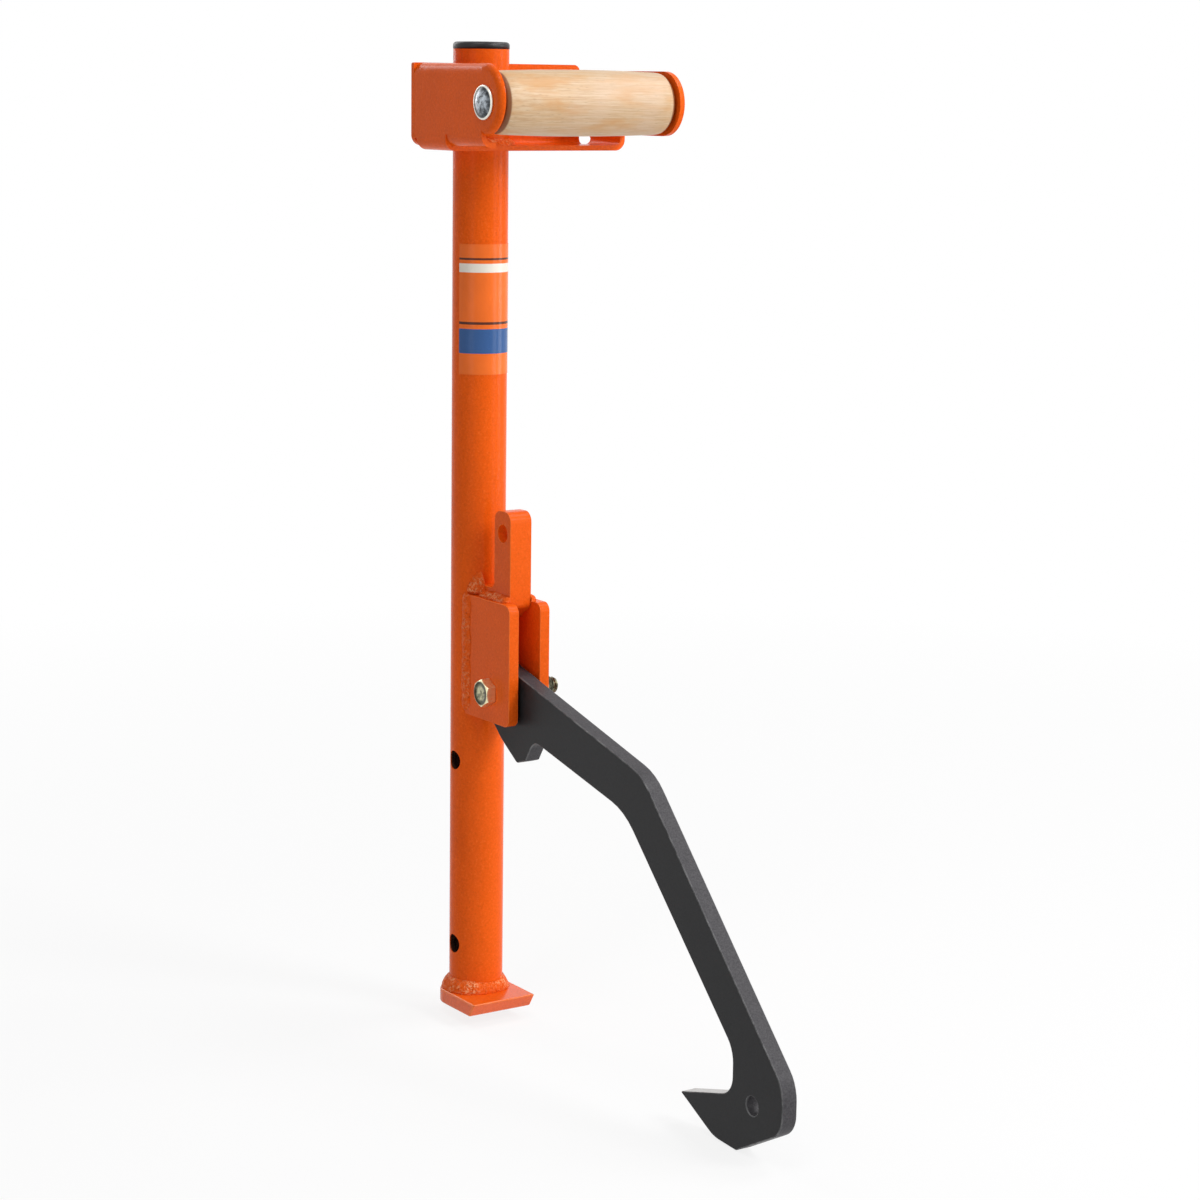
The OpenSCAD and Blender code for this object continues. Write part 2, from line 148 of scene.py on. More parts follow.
class LogToolSizes(bpy.types.PropertyGroup):
    plate_round: length("Plate Edge", "Radius on the edges of the thick plates", 0.0009)
    sheet_round: length("Sheet Edge", "Radius on the edges of the bent sheet", 0.0006)
    foot_round: length("Foot Edge", "Radius on the foot plate's edges", 0.0012)
    hook_round: length("Hook Edge", "Radius on the edges of the hook plate", 0.0006)
    ripple_pitch: length("Ripple Pitch", "Distance between two weld ripples", 0.0021)
    ripple_height: length("Ripple Height", "Height of a weld ripple", 0.00042)
    pivot_pitch: length("Pivot Thread", "Pitch of the pivot bolt's thread", 0.0015875)
    grip_pitch: length("Grip Thread", "Pitch of the grip bolt's thread", 0.00125)
    peel_size: length("Peel Size", "Size of one bump in the coat's orange peel", 0.0014)
    grain_width: length("Grain Width", "Width of one fibre line in the wood", 0.0008)
    ring_gap: length("Ring Gap", "Distance between two growth rings", 0.0034)
    # Width of the painted shade at each end of the wood, where the gap to each ear falls in shadow
    end_shade: length("End Stain", "Width of the dark stain at each end of the wood", 0.0024)


class LogToolColours(bpy.types.PropertyGroup):
    coat: colour("Coat", "Orange powder coat", (0.80, 0.106, 0.006))
    coat_edge: colour("Coat on Edges", "The coat where it thins over an edge", (0.86, 0.19, 0.035))
    wood: colour("Wood", "Pale turned wood", (0.58, 0.415, 0.255))
    wood_line: colour("Wood Fibre", "Darker fibre lines", (0.475, 0.29, 0.145))
    wood_pale: colour("Wood Pale", "Paler fibre lines", (0.65, 0.50, 0.33))
    wood_honey: colour("Wood Honey", "Honey streaks", (0.565, 0.345, 0.168))
    wood_amber: colour("Wood Amber", "Slow amber patches", (0.55, 0.28, 0.095))
    wood_rose: colour("Wood Rose", "Slow rosy drift", (0.65, 0.49, 0.38))
    # Colour of the painted shade on the wood's rounded ends next to the ears
    wood_end_shade: colour("Wood End", "Dirt on the rounded ends", (0.19, 0.048, 0.006))
    # Colour of the painted glint on the tops of the weld grit
    grit: colour("Weld Grit", "Tops of the grit on welds", (0.98, 0.46, 0.22))
    # Near-black colours inside the tube's bore
    inside_dark: colour("Tube Inside", "Bare steel inside the tube", (0.018, 0.010, 0.008))
    inside_speck: colour("Tube Inside Speck", "Paler specks inside the tube", (0.075, 0.03, 0.02))
    charcoal: colour("Charcoal", "Satin coat of the hook", (0.0185, 0.0185, 0.0195))
    # Painted sheen on the hook's narrow cut sides
    side_sheen_dark: colour("Cut Side", "Cut sides of the hook", (0.038, 0.036, 0.040))
    side_sheen_light: colour("Cut Side Speck", "Paler specks on the cut sides", (0.074, 0.071, 0.076))
    # Rubbed wear on the hook's rounded edges, made lighter still as a painted highlight
    rubbed: colour("Rubbed Edge", "Rubbed edges of the hook", (0.17, 0.17, 0.172))
    ground: colour("Ground Steel", "Bare ground edge of the hook's tip", (0.50, 0.49, 0.48))
    zinc: colour("Bright Zinc", "Bright zinc plate", (0.24, 0.265, 0.29))
    yellow: colour("Yellow Zinc", "Yellow zinc plate", (0.27, 0.255, 0.16))
    yellow_tint: colour("Yellow Tint", "Greener yellow zinc on the bolt", (0.22, 0.23, 0.17))
    washer_tint: colour("Washer Tint", "Warmer yellow zinc on the washer", (0.42, 0.36, 0.17))
    # Painted highlights on the rims of the two bolts' heads
    bright_zinc_highlight: colour("Bright Rim", "Rubbed rim of the bright bolt", (0.78, 0.76, 0.68))
    yellow_zinc_highlight: colour("Yellow Rim", "Rubbed rim of the yellow bolt", (0.88, 0.80, 0.52))
    cap: colour("Cap", "Dark end plug", (0.006, 0.005, 0.006))
    film: colour("Film", "Clear label film over the coat", (0.84, 0.155, 0.018))
    band: colour("Band", "Plain band on the label", (0.035, 0.10, 0.27))
    stripe: colour("Stripe", "Plain light stripe on the label", (0.80, 0.75, 0.66))
    thin_line: colour("Thin Line", "Thin dark lines on the label", (0.09, 0.025, 0.012))
    insert: colour("Insert", "Plastic ring in the pivot's lock nut", (0.62, 0.62, 0.56))


# Meshes


def add_object(name, data):
    obj = bpy.data.objects.new(name, data)
    bpy.context.collection.objects.link(obj)
    return obj


def merged(mesh):
    """A bmesh of a mesh with its doubled points merged."""
    bm = bmesh.new()
    bm.from_mesh(mesh)
    bmesh.ops.remove_doubles(bm, verts=bm.verts, dist=2e-6)
    return bm


def smooth_object(name, mesh, bm):
    """Writes a bmesh back to its mesh, shaded smooth, and adds it as an object."""
    bm.to_mesh(mesh)
    bm.free()
    mesh.polygons.foreach_set("use_smooth", np.ones(len(mesh.polygons), bool))
    return add_object(name, mesh)


def put_mesh(name, verts, faces):
    """A mesh object from arrays of points in metres and faces, merged, with faces turned outwards."""
    mesh = bpy.data.meshes.new(name)
    mesh.from_pydata(verts.tolist(), [], faces.tolist())
    bm = merged(mesh)
    bmesh.ops.dissolve_degenerate(bm, edges=bm.edges, dist=1e-7)
    bmesh.ops.recalc_face_normals(bm, faces=bm.faces)
    if bm.calc_volume(signed=True) < 0:
        bmesh.ops.reverse_faces(bm, faces=bm.faces)
    return smooth_object(name, mesh, bm)


def tube_grid(rows, cols):
    """Quads of a grid of points that closes on itself across its columns: row i, column j joins row i + 1,
    column j + 1."""
    i, j = np.meshgrid(np.arange(rows - 1), np.arange(cols), indexing="ij")
    k = (j + 1) % cols
    return np.stack([i * cols + j, i * cols + k, (i + 1) * cols + k, (i + 1) * cols + j], -1).reshape(-1, 4)


def swept(name, sections):
    """A closed skin over sections, an array of rings by points by three. Each end ring shrinks to its own
    middle."""
    first = np.broadcast_to(sections[0].mean(0), sections[0].shape)
    last = np.broadcast_to(sections[-1].mean(0), sections[-1].shape)
    rings = np.concatenate([first[None], sections, last[None]])
    return put_mesh(name, to_row(rings.reshape(-1, 3)), tube_grid(rings.shape[0], rings.shape[1]))


def looped(name, sections):
    """A closed skin over sections whose last ring joins the first one."""
    rings = np.concatenate([sections, sections[:1]])
    return put_mesh(name, to_row(rings.reshape(-1, 3)), tube_grid(rings.shape[0], rings.shape[1]))


def turned(outline, middle, count, radius=None):
    """Rings turned about an axis along x: each outline point is (distance along x, radius), carried round a
    circle. radius(x, r, angle) may change the radius with the angle, which is measured from straight up."""
    angle = np.linspace(0, 2 * np.pi, count, endpoint=False)
    x, r = [np.asarray(v, float)[:, None] for v in zip(*outline)]
    r = np.broadcast_to(r, (len(outline), count)) if radius is None else radius(x, r, angle[None, :])
    rings = np.stack([np.broadcast_to(x, r.shape), r * np.sin(angle), r * np.cos(angle)], -1)
    return rings + np.array([0, middle[0], middle[1]])


def hexagon(outline, middle, count, flats):
    """Rings of a hexagon with corners up and down, cut by a cone at each end. Each outline point is
    (distance along x, depth in from the nearer end). The radius is the smaller of the flat's, which is
    half the width divided by the cosine of the angle from the flat's middle, and the cone's, which is 0.95
    of half the width plus 1.73 times the depth."""

    def rule(x, depth, angle):
        side = np.mod(angle, np.pi / 3) - np.pi / 6
        return np.minimum(flats / 2 / np.cos(side), 0.95 * flats / 2 + 1.73 * depth)

    return turned(outline, middle, count, rule)


def crisp_copy(node, name, width):
    """A merged copy of a CAD node whose sharp edges are rounded by width, each rounded face marked 1 in
    "edge"."""
    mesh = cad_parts[node].data.copy()
    mesh.name = name
    bm = merged(mesh)
    bmesh.ops.dissolve_limit(bm, angle_limit=math.radians(0.6), verts=bm.verts, edges=bm.edges)
    mark = bm.faces.layers.float.new("edge")
    least = math.radians(32)
    sharp = [e for e in bm.edges if len(e.link_faces) == 2 and e.calc_face_angle(0) > least]
    made = bmesh.ops.bevel(
        bm, geom=sharp, offset=width, offset_type="OFFSET", segments=3, profile=0.5, affect="EDGES",
        clamp_overlap=True,
    )
    for face in made["faces"]:
        face[mark] = 1.0
    bmesh.ops.triangulate(bm, faces=[f for f in bm.faces if len(f.verts) > 4])
    obj = smooth_object(name, mesh, bm)
    mesh.set_sharp_from_angle(angle=math.radians(42))
    weighted = obj.modifiers.new("even faces", "WEIGHTED_NORMAL")
    weighted.keep_sharp = True
    weighted.weight = 80
    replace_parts(obj, node)
    return obj


def dress(obj, material, body, slot_name):
    """Gives a piece its material and the CAD body it rides on. slot_name, the record's material slot, is
    not used.
    """
    obj.data.materials.clear()
    obj.data.materials.append(material)
    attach(obj, body)
    return obj


def repaint(node, material):
    """Puts a better material into a CAD node's slots."""
    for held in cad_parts[node].material_slots:
        held.material = material


# Materials


class Nodes:
    """Short calls for the nodes of a node tree."""

    def __init__(self, tree):
        self.nodes, self.links = tree.nodes, tree.links

    def link(self, source, target):
        self.links.new(source, target)

    def node(self, kind, inputs, **options):
        """Outputs of a new node, its options set and each input linked to a socket or set to a value."""
        made = self.nodes.new("ShaderNode" + kind)
        for key, value in options.items():
            setattr(made, key, value)
        for key, value in inputs.items():
            if isinstance(value, bpy.types.NodeSocket):
                self.link(value, made.inputs[key])
            else:
                made.inputs[key].default_value = value
        return made.outputs

    def ramp(self, value, low, high, out_low=0.0, out_high=1.0):
        """Maps low..high of a value to out_low..out_high and stops there."""
        ends = {"From Min": low, "From Max": high, "To Min": out_low, "To Max": out_high}
        return self.node("MapRange", {"Value": value, **ends})["Result"]

    def math(self, kind, a, b=0.0):
        return self.node("Math", {0: a, 1: b}, operation=kind)[0]

    def times(self, a, b):
        return self.math("MULTIPLY", a, b)

    def mix(self, factor, a, b):
        """Colour a where the factor is 0, colour b where it is 1."""
        a, b = [v if isinstance(v, bpy.types.NodeSocket) else (*tuple(v)[:3], 1) for v in (a, b)]
        return self.node("Mix", {0: factor, 6: a, 7: b}, data_type="RGBA")[2]

    def layer(self, under, over, value, *ends):
        """One colour laid over another by the share that a ramp of a value gives."""
        return self.mix(self.ramp(value, *ends), under, over)

    def camera_rays(self):
        """1 for rays straight from the camera, by mirror or through glass, else 0."""
        path = self.node("LightPath", {})
        seen = path["Is Camera Ray"]
        for name in ("Is Glossy Ray", "Is Transmission Ray"):
            seen = self.math("MAXIMUM", seen, path[name])
        return seen


class Paint(Nodes):
    """A material, its shader and the object coordinates, with calls for its patterns."""

    def __init__(self, name, **sockets):
        self.material = bpy.data.materials.new(name)
        self.material.use_nodes = True
        super().__init__(self.material.node_tree)
        self.shader = self.nodes["Principled BSDF"]
        for key, value in sockets.items():
            self.shader.inputs[key.replace("_", " ")].default_value = value
        self.place = self.node("TexCoord", {})["Object"]

    def moved(self, at=(0, 0, 0), scale=(1, 1, 1)):
        """Object coordinates minus a centre, then multiplied by a scale."""
        inputs = {"Vector": self.place, "Location": at, "Scale": [1 / v for v in scale]}
        return self.node("Mapping", inputs, vector_type="TEXTURE")[0]

    def reach(self, place, keep):
        """Length of a position whose coordinates are first multiplied by keep."""
        flat = self.node("VectorMath", {0: place, 1: keep}, operation="MULTIPLY")[0]
        return self.node("VectorMath", {0: flat}, operation="LENGTH")["Value"]

    def off_axis(self, point, keep):
        """Distance from an axis through a tube-frame point, keep being 0 along the axis and 1 across it."""
        return self.reach(self.moved(at=tuple(to_row(point))), keep)

    def noise(self, size, detail=2.0, rough=0.6, at=None, warp=0.0):
        """Smooth noise whose bumps are about size metres across."""
        inputs = {"Scale": 1 / size, "Detail": detail, "Roughness": rough, "Distortion": warp}
        inputs["Vector"] = self.place if at is None else at
        return self.node("TexNoise", inputs)["Fac"]

    def cells(self, size, at=None):
        """Distance to the nearest of many scattered points about size metres apart."""
        place = self.place if at is None else at
        return self.node("TexVoronoi", {"Scale": 1 / size, "Vector": place})["Distance"]

    def attribute(self, name):
        return self.node("Attribute", {}, attribute_name=name)["Fac"]

    def axis(self, which):
        return self.node("SeparateXYZ", {0: self.place})[which]

    def to(self, socket, value):
        self.link(value, self.shader.inputs[socket])

    def bump(self, height, distance, strength=1.0, under=None):
        """A normal tilted by a height, on top of the bumps under it where there are any."""
        inputs = {"Strength": strength, "Distance": distance, "Height": height}
        if under is not None:
            inputs["Normal"] = under
        return self.node("Bump", inputs)[0]


def shade(rgb, factor):
    return [min(1.0, c * factor) for c in rgb]


def coat_paint(name, weld=False, gloss=0.06, hollow=False, catch=0.9):
    """Powder coat: fine speckle and slow drift in the colour, orange-peel bumps of two sizes, and a
    thinner, lighter coat on rounded edges. Where hollow, it turns near black inside the tube. Over welds it
    is gritty, with painted shade in its pits and a painted glint on the tops of the grit, by the share
    catch."""
    sizes, tones = settings()
    paint = Paint(name, Roughness=0.24, IOR=1.5, Specular_IOR_Level=gloss)
    peel = sizes.peel_size
    slow = paint.noise(0.045, 3.0)
    speck = paint.noise(peel, 2.0, 0.7)
    tone = paint.layer(shade(tones.coat, 0.95), shade(tones.coat, 1.04), slow, 0.3, 0.7)
    tone = paint.layer(tone, shade(tones.coat, 0.66), speck, 0.5, 0.3, 0.0, 0.35)
    tone = paint.layer(tone, shade(tones.coat_edge, 1.1), speck, 0.56, 0.76, 0.0, 0.4)
    if weld:
        grit = paint.noise(0.0015, 3.0, 0.75)
        pits = paint.ramp(paint.cells(0.0026), 0.08, 0.3)
        patch = paint.ramp(paint.noise(0.011), 0.47, 0.6, 0.15, 1.0)
        # Painted glint on the tops of the grit
        painted_glint = paint.times(paint.ramp(grit, 0.48, 0.62, 0.0, catch), patch)
        tone = paint.mix(painted_glint, tone, tones.grit)
        # Painted shade in the pits
        tone = paint.layer(tone, shade(tones.coat, 0.5), pits, 0.0, 1.0, 0.5, 0.0)
        normal = paint.bump(grit, 0.0009, 1.0)
        normal = paint.bump(pits, 0.0003, 0.6, normal)
        paint.to("Roughness", paint.ramp(grit, 0.3, 0.7, 0.45, 0.24))
    else:
        edge = paint.attribute("edge")
        patch = paint.ramp(paint.noise(0.006, 3.0), 0.25, 0.7, 0.3, 0.9)
        tone = paint.mix(paint.times(edge, patch), tone, tones.coat_edge)
        if hollow:
            # Near black inside the tube's bore
            reach = paint.off_axis([0, 0, 0], (1, 1, 0))
            dark = paint.layer(tones.inside_dark, tones.inside_speck, speck, 0.4, 0.65)
            dark_to, orange_from = 0.0150, 0.0157
            tone = paint.layer(tone, dark, reach, dark_to, orange_from, 1.0, 0.0)
        normal = paint.bump(paint.noise(peel * 2.2, 1.0, 0.4), 0.00022, 0.55)
        normal = paint.bump(speck, 0.00010, 0.5, normal)
        paint.to("Roughness", paint.ramp(slow, 0.3, 0.7, 0.17, 0.25))
    paint.to("Base Color", tone)
    paint.to("Normal", normal)
    return paint.material


def wood_paint(name):
    """Turned pale wood: growth rings about an axis beside the grip, thin fibre lines along it, short flecks
    and slow amber patches, under a thin satin lacquer. Painted shade darkens the rounded ends next to the
    ears."""
    sizes, tones = settings()
    paint = Paint(name, Roughness=0.42, IOR=1.48, Specular_IOR_Level=0.4)
    along = paint.moved(scale=(0.045, 1, 1))
    rings_at = paint.moved(at=(0, 0.032, -0.05), scale=(0.06, 1, 1))
    wobble = paint.times(paint.noise(0.02, 2.0, 0.5, rings_at), 0.006)
    away = paint.math("ADD", paint.reach(rings_at, (0, 1, 1)), wobble)
    ring = paint.math("SINE", paint.times(away, 2 * math.pi / sizes.ring_gap))
    fibre = paint.noise(sizes.grain_width, 4.0, 0.7, along)
    streak = paint.noise(0.004, 2.0, 0.6, paint.moved(scale=(0.11, 1, 1)))
    fleck = paint.cells(0.0013, paint.moved(scale=(0.2, 1, 1)))
    amber = paint.noise(0.011, 3.0, 0.6, paint.moved(at=(0.013, 0.004, 0.002), scale=(0.35, 1, 1)))
    tone = paint.layer(tones.wood, shade(tones.wood_line, 1.15), ring, -1, 1, 0.0, 0.34)
    tone = paint.layer(tone, tones.wood_line, fibre, 0.47, 0.62, 0.0, 0.8)
    tone = paint.layer(tone, tones.wood_pale, fibre, 0.46, 0.32, 0.0, 0.5)
    tone = paint.layer(tone, tones.wood_honey, streak, 0.48, 0.66, 0.0, 0.55)
    tone = paint.layer(tone, shade(tones.wood_line, 0.7), fleck, 0.08, 0.24, 0.42, 0.0)
    tone = paint.layer(tone, tones.wood_amber, amber, 0.47, 0.66, 0.0, 0.75)
    tone = paint.layer(tone, tones.wood_rose, paint.noise(0.03, 1.0, 0.5), 0.45, 0.7, 0.0, 0.3)
    low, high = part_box("grip")
    # Painted shade on both rounded ends, next to the ears
    shade_starts = (high[0] - low[0]) / 2 - sizes.end_shade
    ends = paint.ramp(paint.math("ABSOLUTE", paint.axis("X")), shade_starts - 0.0007, shade_starts, 0.0, 0.9)
    tone = paint.mix(ends, tone, tones.wood_end_shade)
    paint.to("Base Color", tone)
    paint.to("Roughness", paint.ramp(fibre, 0.3, 0.7, 0.34, 0.5))
    normal = paint.bump(fibre, 0.0002, 0.4)
    paint.to("Normal", paint.bump(fleck, 0.0001, 0.3, normal))
    return paint.material


def hook_paint(name):
    """Satin charcoal coat with faint mottling, greyer on the cut edges where "side" is 1 as painted sheen,
    rubbed and lit by a painted highlight on rounded edges, and bare ground steel with fine lines where
    "ground" is 1."""
    tones = settings()[1]
    paint = Paint(name, Roughness=0.34, IOR=1.5, Specular_IOR_Level=0.15)
    mottle = paint.noise(0.004, 4.0)
    fine = paint.noise(0.0009)
    side, edge, ground = [paint.attribute(n) for n in ("side", "edge", "ground")]
    tone = paint.layer(shade(tones.charcoal, 0.8), shade(tones.charcoal, 1.25), mottle, 0.3, 0.7)
    tone = paint.layer(tone, shade(tones.charcoal, 1.9), fine, 0.4, 0.75, 0.0, 0.3)
    # Painted sheen: the narrow cut sides are made lighter than the faces
    side_sheen = paint.layer(tones.side_sheen_dark, tones.side_sheen_light, fine, 0.3, 0.7)
    tone = paint.mix(side, tone, side_sheen)
    # Rubbed wear on rounded edges, made lighter as a painted highlight
    patch = paint.ramp(paint.noise(0.007, 3.0), 0.36, 0.62, 0.25, 0.95)
    tone = paint.mix(paint.times(edge, patch), tone, tones.rubbed)
    lines = paint.noise(0.0006, 2.0, 0.6, paint.moved(scale=(0.08, 1, 1)))
    steel = paint.layer(shade(tones.ground, 0.8), shade(tones.ground, 1.2), lines, 0.3, 0.7)
    tone = paint.mix(ground, tone, steel)
    paint.to("Base Color", tone)
    paint.to("Metallic", paint.times(ground, 0.85))
    paint.to("Roughness", paint.ramp(mottle, 0.3, 0.7, 0.38, 0.5))
    paint.to("Normal", paint.bump(fine, 0.00005, 0.4, paint.bump(mottle, 0.0001, 0.25)))
    return paint.material


def plate_paint(name, tone, tint, dull, rim=None):
    """Zinc plate: metal whose colour drifts between two tints, with small and large stains. rim holds the y
    and z of an axis along x, a radius and a colour: past the radius, in millimetres, a painted highlight
    has that colour, inside it lies a ring of painted shade, and the middle has a pale painted reflection in
    patches."""
    paint = Paint(name, Metallic=1.0, Roughness=dull)
    drift = paint.noise(0.006, 3.0)
    stain = paint.noise(0.0018, 3.0, 0.7)
    out = paint.layer(tone, tint, drift, 0.35, 0.65)
    out = paint.layer(out, shade(tone, 0.3), stain, 0.48, 0.66, 0.0, 0.8)
    spot = paint.ramp(paint.noise(0.0042, warp=0.8), 0.46, 0.58, 0.0, 0.85)
    out = paint.mix(spot, out, shade(tone, 0.16))
    if rim is not None:
        y, z, rim_r, rim_highlight = rim
        reach = paint.times(paint.off_axis([0, y, z], (0, 1, 1)), MM)
        # Pale painted reflection in patches over the middle of the head
        middle = paint.ramp(reach, rim_r * 0.5, rim_r * 0.7, 0.75, 0.0)
        patch = paint.ramp(paint.noise(0.0032), 0.42, 0.56)
        out = paint.mix(paint.times(middle, patch), out, shade(tone, 2.3))
        # Ring of painted shade just inside the rim
        ring = paint.ramp(reach, rim_r - 2.8, rim_r - 1.2, 0.0, 0.9)
        patch = paint.ramp(paint.noise(0.004), 0.36, 0.52, 0.45, 1.0)
        out = paint.mix(paint.times(ring, patch), out, shade(tone, 0.10))
        # Painted highlight in the rim's colour past rim_r
        out = paint.layer(out, rim_highlight, reach, rim_r - 0.35, rim_r + 0.35)
    paint.to("Base Color", out)
    paint.to("Roughness", paint.ramp(stain, 0.3, 0.8, dull * 0.8, dull * 1.7))
    paint.to("Normal", paint.bump(stain, 0.00008, 0.4))
    return paint.material


def plastic_paint(name, tone, rough, grain):
    """Moulded plastic: fine grain in height and gloss, with a slight drift of its colour."""
    paint = Paint(name, Roughness=rough, Specular_IOR_Level=0.35)
    fine = paint.noise(grain)
    paint.to("Base Color", paint.mix(paint.noise(0.008, 3.0), shade(tone, 0.75), shade(tone, 1.35)))
    paint.to("Roughness", paint.ramp(fine, 0.3, 0.7, rough * 0.85, rough * 1.2))
    paint.to("Normal", paint.bump(fine, 0.00006, 0.4))
    return paint.material


def film_paint(name):
    """Clear glossy film over the coat, with a plain band, thin dark lines and a light stripe across it,
    each between two heights in millimetres above the film's lower edge."""
    tones = settings()[1]
    low = node_span("label_film")[0]
    paint = Paint(name, Roughness=0.22, IOR=1.5, Specular_IOR_Level=0.2)
    worn = paint.noise(0.0012)
    slow = paint.ramp(paint.noise(0.02, 2.0, 0.5), 0.3, 0.7)
    tone = paint.mix(slow, shade(tones.film, 0.95), shade(tones.film, 1.06))
    band = paint.layer(tones.band, shade(tones.band, 1.6), worn, 0.6, 0.8, 0.0, 0.3)
    stripe = paint.layer(tones.stripe, shade(tones.stripe, 0.8), worn, 0.6, 0.8, 0.0, 0.4)
    line = tones.thin_line
    belts = ((12.0, 26.0, band), (28.5, 30.0, line), (58.0, 63.0, stripe), (65.0, 66.2, line))
    height = paint.axis("Z")
    for bottom, top, shown in belts:
        a, b = [(low[2] + v - ROW_ORIGIN[2]) / MM for v in (bottom, top)]
        above = paint.ramp(height, a - 0.0001, a + 0.0001)
        below = paint.ramp(height, b - 0.0001, b + 0.0001, 1.0, 0.0)
        tone = paint.mix(paint.times(above, below), tone, shown)
    paint.to("Base Color", tone)
    paint.to("Roughness", paint.ramp(worn, 0.3, 0.7, 0.16, 0.26))
    paint.to("Normal", paint.bump(paint.noise(0.012, 1.0, 0.5), 0.0003, 0.2))
    return paint.material


# Weld beads


def wander(along, seed, scale):
    """A slow uneven wave: three sines of unlike lengths added, from about -1 to 1."""
    return (
        np.sin(along / scale + seed)
        + 0.6 * np.sin(along / scale * 2.3 + 1.7 * seed)
        + 0.4 * np.sin(along / scale * 5.1 + 2.9 * seed)
    ) / 2


def bead(name, corner, toe_a, toe_b, out, swell, seed, ring=False, taper=2.5, ripple=1.0, stray=0.08):
    """A weld bead carried along a corner line. Its section runs from one toe to the other over a swell
    along out, and back under the corner. Ripples add to the swell: the root of a half sine of the distance
    along the line, set back towards the toes so that each ripple bows. Slow waves make the toes wander."""
    sizes = settings()[0]
    pitch, height = sizes.ripple_pitch * MM, sizes.ripple_height * MM * ripple
    step = np.linalg.norm(np.diff(corner, axis=0), axis=1)
    along = np.concatenate([[0], np.cumsum(step)])
    far = along[:, None]
    if ring:
        pitch = along[-1] / round(along[-1] / pitch)
    t = np.linspace(0, 1, 22)
    over = np.sin(np.pi * t) ** 0.85
    bow = 0.55 * (2 * t - 1) ** 2
    drift = 0.12 * wander(far, seed, 5) * (not ring)
    phase = np.mod(far / pitch + bow + drift, 1)
    lump = 1 + 0.18 * wander(far, seed, 3.1) * (1 - 0.4 * np.abs(2 * t - 1))
    grit = 0.10 * np.sin(far * 2.9 + 9 * t + seed) * np.sin(far * 1.7 - 13 * t)
    grit = grit + 0.07 * np.sin(far * 4.3 - 17 * t + 2 * seed) * np.sin(far * 3.1 + 21 * t)
    rise = swell * over * (lump + grit) + height * over * np.sqrt(np.sin(np.pi * phase) + 1e-6)
    a = corner + (toe_a - corner) * (1 + stray * wander(far, seed + 1, 3.4))
    b = corner + (toe_b - corner) * (1 + stray * wander(far, seed + 2, 4.1))
    flat = a[:, None] * (1 - t)[None, :, None] + b[:, None] * t[None, :, None]
    top = flat + out[:, None] * rise[..., None]
    u = np.linspace(1, 0, 8)[1:-1][None, :, None]
    deep = corner[:, None] - 0.5 * out[:, None]
    under = (1 - u) ** 2 * a[:, None] + 2 * u * (1 - u) * deep + u**2 * b[:, None]
    sections = np.concatenate([top, under], 1)
    if ring:
        return looped(name, sections[:-1])
    ends = np.clip(np.minimum(along, along[-1] - along) / taper, 0, 1)
    ends = np.sqrt(1 - (1 - ends) ** 2)[:, None, None]
    return swept(name, deep + (sections - deep) * np.maximum(ends, 0.02))


def hump(turn, at, wide):
    """A hump on a ring, at and wide in degrees: the cosine of the turn from its middle, zero from half its
    width on."""
    off = np.angle(np.exp(1j * (turn - math.radians(at))))
    return np.cos(np.pi * np.clip(off / math.radians(wide), -0.5, 0.5))


def unit(v):
    return v / np.linalg.norm(v, axis=-1, keepdims=True)


def xyz(x, y, z):
    """Points from three coordinates, each a number or an array, at least one an array."""
    return np.stack(np.broadcast_arrays(x, y, z), -1)


def side_name(kind, s):
    """Name of a piece left of the tube, where s is below 0, or right of it."""
    return kind + ("_left" if s < 0 else "_right")


